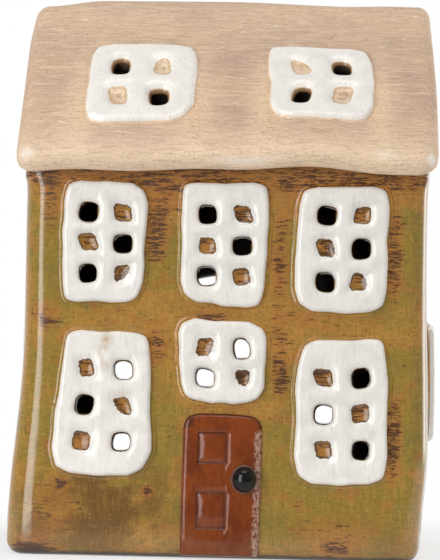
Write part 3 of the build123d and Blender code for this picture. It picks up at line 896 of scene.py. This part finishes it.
def door_mesh():
    """The door's slab with soft edges, scored panels and a flat back sunk in the wall."""
    half = door_high.x
    us = [-half, -half + 0.6, -half + 1.8, *panel_lines(PANEL_X, PANEL[0] / 2)]
    us += [4.2, half - 2.5, half - 1.5, half]
    vs = [door_low.z, door_low.z + 0.5, door_low.z + 1.8]
    for level in PANEL_LEVELS:
        vs += panel_lines(level, PANEL[1] / 2)
    vs += [door_high.z - 3.0, door_high.z - 1.2, door_high.z]
    net = bmesh.new()
    pool = net.verts.layers.float.new("pool")
    edge_highlight = net.verts.layers.float.new("edge_highlight")
    grid = {}
    centre_v = (door_low.z + door_high.z) / 2
    half_v = (door_high.z - door_low.z) / 2
    for layer, i, j in sheet_points(us, vs):
        u, v = us[i], vs[j]
        near_top = j >= len(vs) - 3
        radius = TOP_CORNER if v > centre_v else FOOT_CORNER
        new_u, new_v = corner_round(u, v - centre_v, half, half_v, radius)
        new_v += centre_v - near_top * (0.5 * (u / half) ** 2 + 0.02 * u)
        rise = DOOR_DEPTH if layer else -DOOR_SUNK
        inset = lines_in(i, j, us, vs)
        if layer and inset == 0:
            rise -= EDGE_DROP
        elif layer and inset == 1:
            rise -= RIGHT_SHOULDER_DROP if i == len(us) - 2 else SHOULDER_DROP
        for level in PANEL_LEVELS:
            ring = max(abs(u - PANEL_X) - PANEL[0] / 2, abs(v - level) - PANEL[1] / 2)
            if layer and abs(ring) < 0.1:
                rise -= GROOVE_DEPTH
            elif layer and ring < 0:
                rise += PANEL_SWELL
        vert = net.verts.new((new_u, front_plane - rise, new_v))
        # A pale strip down the door's right edge is marked as a painted highlight.
        on_right = i >= len(us) - 2 and new_v < door_high.z - 4
        sooty = i < 3 and near_top
        vert[pool] = 1.0 if (rise < DOOR_DEPTH - 0.6 or sooty) and not on_right else 0.0
        vert[edge_highlight] = 1.0 if on_right else 0.0
        grid[layer, i, j] = vert
    across, along = len(us) - 1, len(vs) - 1
    sheet_faces(net, grid, [(i, j) for i in range(across) for j in range(along)])
    rim = [(i, 0) for i in range(across)] + [(across, j) for j in range(along)]
    rim += [(i, along) for i in range(across, 0, -1)] + [(0, j) for j in range(along, 0, -1)]
    for start, end in zip(rim, rim[1:] + rim[:1]):
        net.faces.new([grid[0, *start], grid[0, *end], grid[1, *end], grid[1, *start]])
    return bent_mesh("door_slab", net)


red = Finish("red_brown_glaze")
patches = red.step(red.noise(7, (1, 1, 1.4), 4, 0.65, (2, 2, 2)), 0.42, 0.64)
red_colour = red.blend(patches, (0.200, 0.040, 0.006), (0.145, 0.027, 0.004))
strokes = red.noise(0.9, (1, 1, 3), 4, 0.7, (3, 7, 1))
red_colour = red.wash(red_colour, (0.270, 0.070, 0.012), red.step(strokes, 0.50, 0.72), 0.45)
red_colour = red.wash(red_colour, (0.105, 0.020, 0.006), red.step(strokes, 0.48, 0.30), 0.5)
ash = red.step(red.noise(1.3, (1.5, 1.5, 1), 3, 0.7, (6, 4, 1)), 0.68, 0.76)
red_colour = red.wash(red_colour, (0.055, 0.022, 0.012), ash, 0.55)
mossy = red.step(red.noise(5, (1, 1, 1), 2), 0.4, 0.65)
low_green = red.times(red.step(red.height(), 9, 1), mossy)
red_colour = red.wash(red_colour, (0.200, 0.100, 0.030), low_green, 0.45)
pooled = red.plus(red.attribute("pool"), red.times(red.noise(1.1, (1, 1, 1), 4, 0.7), 0.5))
red_colour = red.wash(red_colour, (0.060, 0.016, 0.007), red.step(pooled, 0.55, 1.1), 0.75)
# A pale strip painted down the right edge, broken by cracks, is a painted highlight on its rounded edge.
cracks = red.step(red.noise(0.8, (1, 1, 1.5), 4, 0.7, (4, 1, 8)), 0.34, 0.60)
edge_highlight_strip = red.times(red.attribute("edge_highlight"), cracks)
red_colour = red.wash(red_colour, (0.44, 0.29, 0.22), red.step(edge_highlight_strip, 0.2, 0.85), 0.8)
red_relief = red.bump(red.noise(4, (1, 1, 1), 2), 0.12)
red_relief = red.bump(strokes, 0.03, red_relief)
red.surface(Base_Color=red_colour, Roughness=0.12, Normal=red_relief, IOR=1.42)
door = finish_piece("door", door_mesh(), red, "house")
soften = door.modifiers.new("soften", "SUBSURF")
soften.levels = soften.render_levels = 3

# Door knob
# A bead of clay rolled between the fingers, pressed flat on the door beside its panels and dipped in
# glossy black glaze, with a pale ring painted as a highlight where the bead meets the door.
knob_low, knob_high = [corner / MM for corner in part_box("door_knob")]
knob_middle = (knob_low + knob_high) / 2
knob_radius = (knob_high.z - knob_low.z) / 2
KNOB_SWELL = 1.1
KNOB_TALL = 1.08
RING_FLARE = 0.42
KNOB_SIDES = 48
KNOB_RINGS = 32


def turned(profile, sides, ripple=None):
    """A net turned from a profile of radius and height; a radius of 0 is a point on the axis."""
    net = bmesh.new()
    rings = []
    for radius, height in profile:
        if radius == 0:
            rings.append([net.verts.new((0, 0, height))] * sides)
            continue
        ring = []
        for side in range(sides):
            angle = 2 * math.pi * side / sides
            reach, rise = ripple(angle, radius, height) if ripple else (radius, height)
            ring.append(net.verts.new((reach * math.cos(angle), reach * math.sin(angle), rise)))
        rings.append(ring)
    for low_ring, high_ring in zip(rings, rings[1:]):
        for side in range(sides):
            after = (side + 1) % sides
            corners = [low_ring[side], low_ring[after], high_ring[after], high_ring[side]]
            face = list(dict.fromkeys(corners))
            if len(face) > 2:
                net.faces.new(face)
    return net


turns = [math.pi * k / KNOB_RINGS for k in range(1, KNOB_RINGS)]
ball = [(0, -1), *[(math.sin(turn), -math.cos(turn)) for turn in turns], (0, 1)]
bead = turned(ball, KNOB_SIDES)
skirt = bead.verts.layers.float.new("skirt")
for vert in bead.verts:
    round_x, out, round_z = vert.co
    dent = 1 + 0.03 * math.sin(3 * round_x + 2) * math.cos(2.4 * round_z)
    reach = (knob_high.y - knob_low.y) - knob_radius if out > 0 else knob_radius
    vert[skirt] = float(fade(out, 0.50, 0.62))
    flare = 1 + RING_FLARE * vert[skirt]
    girth = knob_radius * KNOB_SWELL * dent * flare
    vert.co = Vector((
        knob_middle.x + girth * round_x,
        knob_low.y + knob_radius + reach * out,
        knob_middle.z + girth * KNOB_TALL * round_z,
    ))
black = Finish("black_glaze")
thin = black.step(black.noise(1.8, (1, 1, 1), 3), 0.45, 0.75)
black_colour = black.blend(thin, (0.004, 0.003, 0.003), (0.012, 0.009, 0.008))
# A pale ring painted round the bead's foot is a painted highlight.
worn_ring = black.times(black.attribute("skirt"), 0.5)
black_colour = black.blend(worn_ring, black_colour, (0.42, 0.30, 0.24))
black_relief = black.bump(black.noise(2.5), 0.04)
black.surface(Base_Color=black_colour, Roughness=0.07, Normal=black_relief, IOR=1.38)
knob = bent_mesh("knob_bead", bead)
finish_piece("door_knob", knob, black, "house")

# Tealight
# A loose candle that goes in through the arch: a pressed foil cup with a rolled rim and fine flutes,
# wax cast in it, and a cotton wick held by a tin foot that the wax hides.
cup_low, cup_high = [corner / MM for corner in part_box("tealight_cup")]
wax_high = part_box("tealight_wax")[1] / MM
wick_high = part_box("wick")[1] / MM
cup_radius = cup_high.x
cup_floor = cup_low.z
rim_top = cup_high.z
foot_radius = cup_radius - 1.2
neck_radius = cup_radius - 0.6
WALL_GAUGE = 0.35
FLOOR_GAUGE = 0.4
ROLL = 0.3
FLUTES = 48
FLUTE_DEPTH = 0.10


def cast(name, net):
    """Turns a net in millimetres into a mesh that keeps its shape."""
    for vert in net.verts:
        vert.co *= MM
    return mesh_of(name, net)


def fluted(angle, radius, height):
    """Fine pressed flutes round the cup's wall, gone at the foot and the rim."""
    above_foot = fade(height, cup_floor + 1.5, cup_floor + 3)
    below_rim = 1 - fade(height, rim_top - 3, rim_top - 1.6)
    return radius + FLUTE_DEPTH * float(above_foot * below_rim) * math.sin(FLUTES * angle), height


wall_steps = [k / 8 for k in range(1, 8)]
wall_lean = neck_radius - foot_radius
wall_rise = rim_top - cup_floor - 1
outer = [(foot_radius + wall_lean * t, cup_floor + wall_rise * t) for t in wall_steps]
inner = [(radius - WALL_GAUGE, height) for radius, height in reversed(outer)]
rim = []
for turn in (-1.2, -0.4, 0.4, 1.2, 2.0):
    rim.append((cup_radius - ROLL + ROLL * math.cos(turn), rim_top - ROLL + ROLL * math.sin(turn)))
cup_profile = [(0, cup_floor), (foot_radius - 2.5, cup_floor), (foot_radius - 0.5, cup_floor)]
cup_profile += [(foot_radius - 0.1, cup_floor + 0.5), *outer, *rim, (neck_radius - 0.5, rim_top - 0.4)]
cup_profile += [*inner, (foot_radius - 0.7, cup_floor + FLOOR_GAUGE), (0, cup_floor + FLOOR_GAUGE)]
foil = Finish("cup_foil")
scratches = foil.noise(0.35, (1, 1, 14), 2, 0.6)
foil_colour = foil.blend(foil.step(scratches, 0.4, 0.7), (0.78, 0.78, 0.79), (0.64, 0.64, 0.66))
foil.surface(Base_Color=foil_colour, Metallic=1.0, Roughness=0.30, Normal=foil.bump(scratches, 0.01))
cup = cast("cup", turned(cup_profile, 192, fluted))
finish_piece("tealight_cup", cup, foil, "tealight")

wax_top = wax_high.z
wax_foot = cup_floor + FLOOR_GAUGE + 0.05
wax_edge = wax_high.x - 0.05
wax_profile = [(0, wax_foot), (foot_radius - 0.9, wax_foot), (wax_edge, wax_top + 0.25)]
wax_profile += [(wax_edge - 0.5, wax_top - 0.02), (wax_edge - 1.5, wax_top - 0.12), (9, wax_top - 0.12)]
wax_profile += [(4, wax_top - 0.05), (1.6, wax_top + 0.12), (0.6, wax_top + 0.25), (0, wax_top + 0.25)]
wax = Finish("paraffin")
frost = wax.noise(3.5, (1, 1, 1), 4, 0.6)
wax_colour = wax.blend(wax.step(frost, 0.42, 0.66), (0.86, 0.84, 0.78), (0.80, 0.775, 0.70))
wax.surface(
    Base_Color=wax_colour, Roughness=0.42, Subsurface_Weight=0.25, Subsurface_Scale=0.004,
    Normal=wax.bump(frost, 0.05),
)
wax_cake = cast("wax", turned(wax_profile, 96))
finish_piece("tealight_wax", wax_cake, wax, "tealight")

wick_radius = wick_high.x


def braided(angle, radius, height):
    """Three plaited yarns give the wick its twisted ribs."""
    return radius * (1 + 0.16 * math.sin(3 * angle + height * 2.2)), height


wick_rows = [wax_foot + (wick_high.z - 0.2 - wax_foot) * t / 40 for t in range(41)]
wick_profile = [(0, wax_foot), *[(wick_radius * 0.85, height) for height in wick_rows]]
wick_profile += [(wick_radius * 0.45, wick_high.z), (0, wick_high.z)]
cotton = Finish("cotton")
yarn = cotton.noise(0.25, (1, 1, 2.5), 3, 0.6)
cotton_colour = cotton.blend(cotton.step(yarn, 0.4, 0.65), (0.83, 0.80, 0.73), (0.60, 0.56, 0.48))
cotton.surface(Base_Color=cotton_colour, Roughness=0.9, Normal=cotton.bump(yarn, 0.06))
wick_cord = cast("wick_cord", turned(wick_profile, 24, braided))
finish_piece("wick", wick_cord, cotton, "tealight")

tin = Finish("wick_foot_tin")
grain = tin.noise(0.4, (6, 1, 1), 2)
tin_colour = tin.blend(grain, (0.62, 0.62, 0.62), (0.50, 0.50, 0.51))
tin.surface(Base_Color=tin_colour, Metallic=1.0, Roughness=0.35, Normal=tin.bump(grain, 0.01))
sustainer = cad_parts["wick_sustainer"]
sustainer.data.materials.clear()
sustainer.data.materials.append(tin.material)

# Studio
# A sheet of white paper under the house, in a white room that is dimmer towards the front. A tall soft
# box stands at the front left, a strip behind on the right with a fill beside it, and a box hangs above.
FLOOR_CORNERS = ((-0.35, -0.1, 0), (0.35, -0.1, 0), (0.35, 0.4, 0), (-0.35, 0.4, 0))
floor_mesh = bpy.data.meshes.new("floor")
floor_mesh.from_pydata(FLOOR_CORNERS, [], [(0, 1, 2, 3)])
floor = bpy.data.objects.new("floor", floor_mesh)
bpy.context.scene.collection.objects.link(floor)
paper = Finish("white_paper")
paper.surface(Base_Color=(0.9, 0.9, 0.9), Roughness=0.9)
ray = paper.add("LightPath").outputs
shown = paper.math("MAXIMUM", ray["Is Camera Ray"], ray["Is Glossy Ray"])
shown = paper.math("MAXIMUM", shown, ray["Is Transmission Ray"])
reach = paper.add("VectorMath", "LENGTH", Vector=paper.place).outputs["Value"]
bare = paper.plus(0.62, paper.times(0.38, paper.step(reach, 60, 130)))
mix = paper.add("MixShader")
paper.plug(mix.inputs[0], paper.times(shown, bare))
paper.plug(mix.inputs[1], paper.shader.outputs[0])
paper.plug(mix.inputs[2], paper.add("Emission").outputs[0])
paper.links.new(mix.outputs[0], paper.nodes["Material Output"].inputs["Surface"])
floor_mesh.materials.append(paper.material)

room = Finish("studio", bpy.data.worlds, "Background")
bpy.context.scene.world = room.material
direction = room.add("TexCoord").outputs["Generated"]
backward = room.add("SeparateXYZ", Vector=direction).outputs["Y"]
light_level = room.plus(0.28, room.times(0.72, room.step(backward, 0.05, 0.75)))
seen_directly = room.add("LightPath").outputs["Is Camera Ray"]
room.surface(Color=(1, 1, 1), Strength=room.math("MAXIMUM", seen_directly, light_level))


def soft_box(name, place, target, size, power):
    """A rectangular soft light that faces a point."""
    lamp = bpy.data.lights.new(name, "AREA")
    lamp.shape = "RECTANGLE"
    lamp.size, lamp.size_y = size
    lamp.energy = power
    light = bpy.data.objects.new(name, lamp)
    bpy.context.scene.collection.objects.link(light)
    light.location = place
    light.rotation_mode = "QUATERNION"
    light.rotation_quaternion = (Vector(target) - Vector(place)).to_track_quat("-Z", "Y")
    return light


middle = (0, 0, 0.07)
soft_box("left_box", (-0.41, -0.63, 0.17), middle, (0.40, 0.75), 4.7)
soft_box("right_strip", (0.55, 0.46, 0.22), middle, (0.3, 0.75), 1.8)
right_fill = soft_box("right_fill", (0.62, -0.16, 0.2), middle, (0.5, 0.6), 1.6)
right_fill.visible_glossy = False
soft_box("overhead", (0.0, -0.35, 0.85), middle, (0.6, 0.4), 1.6)

# Camera
# Level with the middle of the house, a little to its right, with a long lens and a slight tilt.
eye = bpy.data.cameras.new("camera")
camera = bpy.data.objects.new("camera", eye)
bpy.context.scene.collection.objects.link(camera)
bpy.context.scene.camera = camera
eye.lens = 167
camera.location = (0.018, -0.719, 0.072)
camera.rotation_euler = (math.radians(90.1), math.radians(-1.15), math.radians(1.62))
bpy.context.scene.view_settings.view_transform = "Standard"
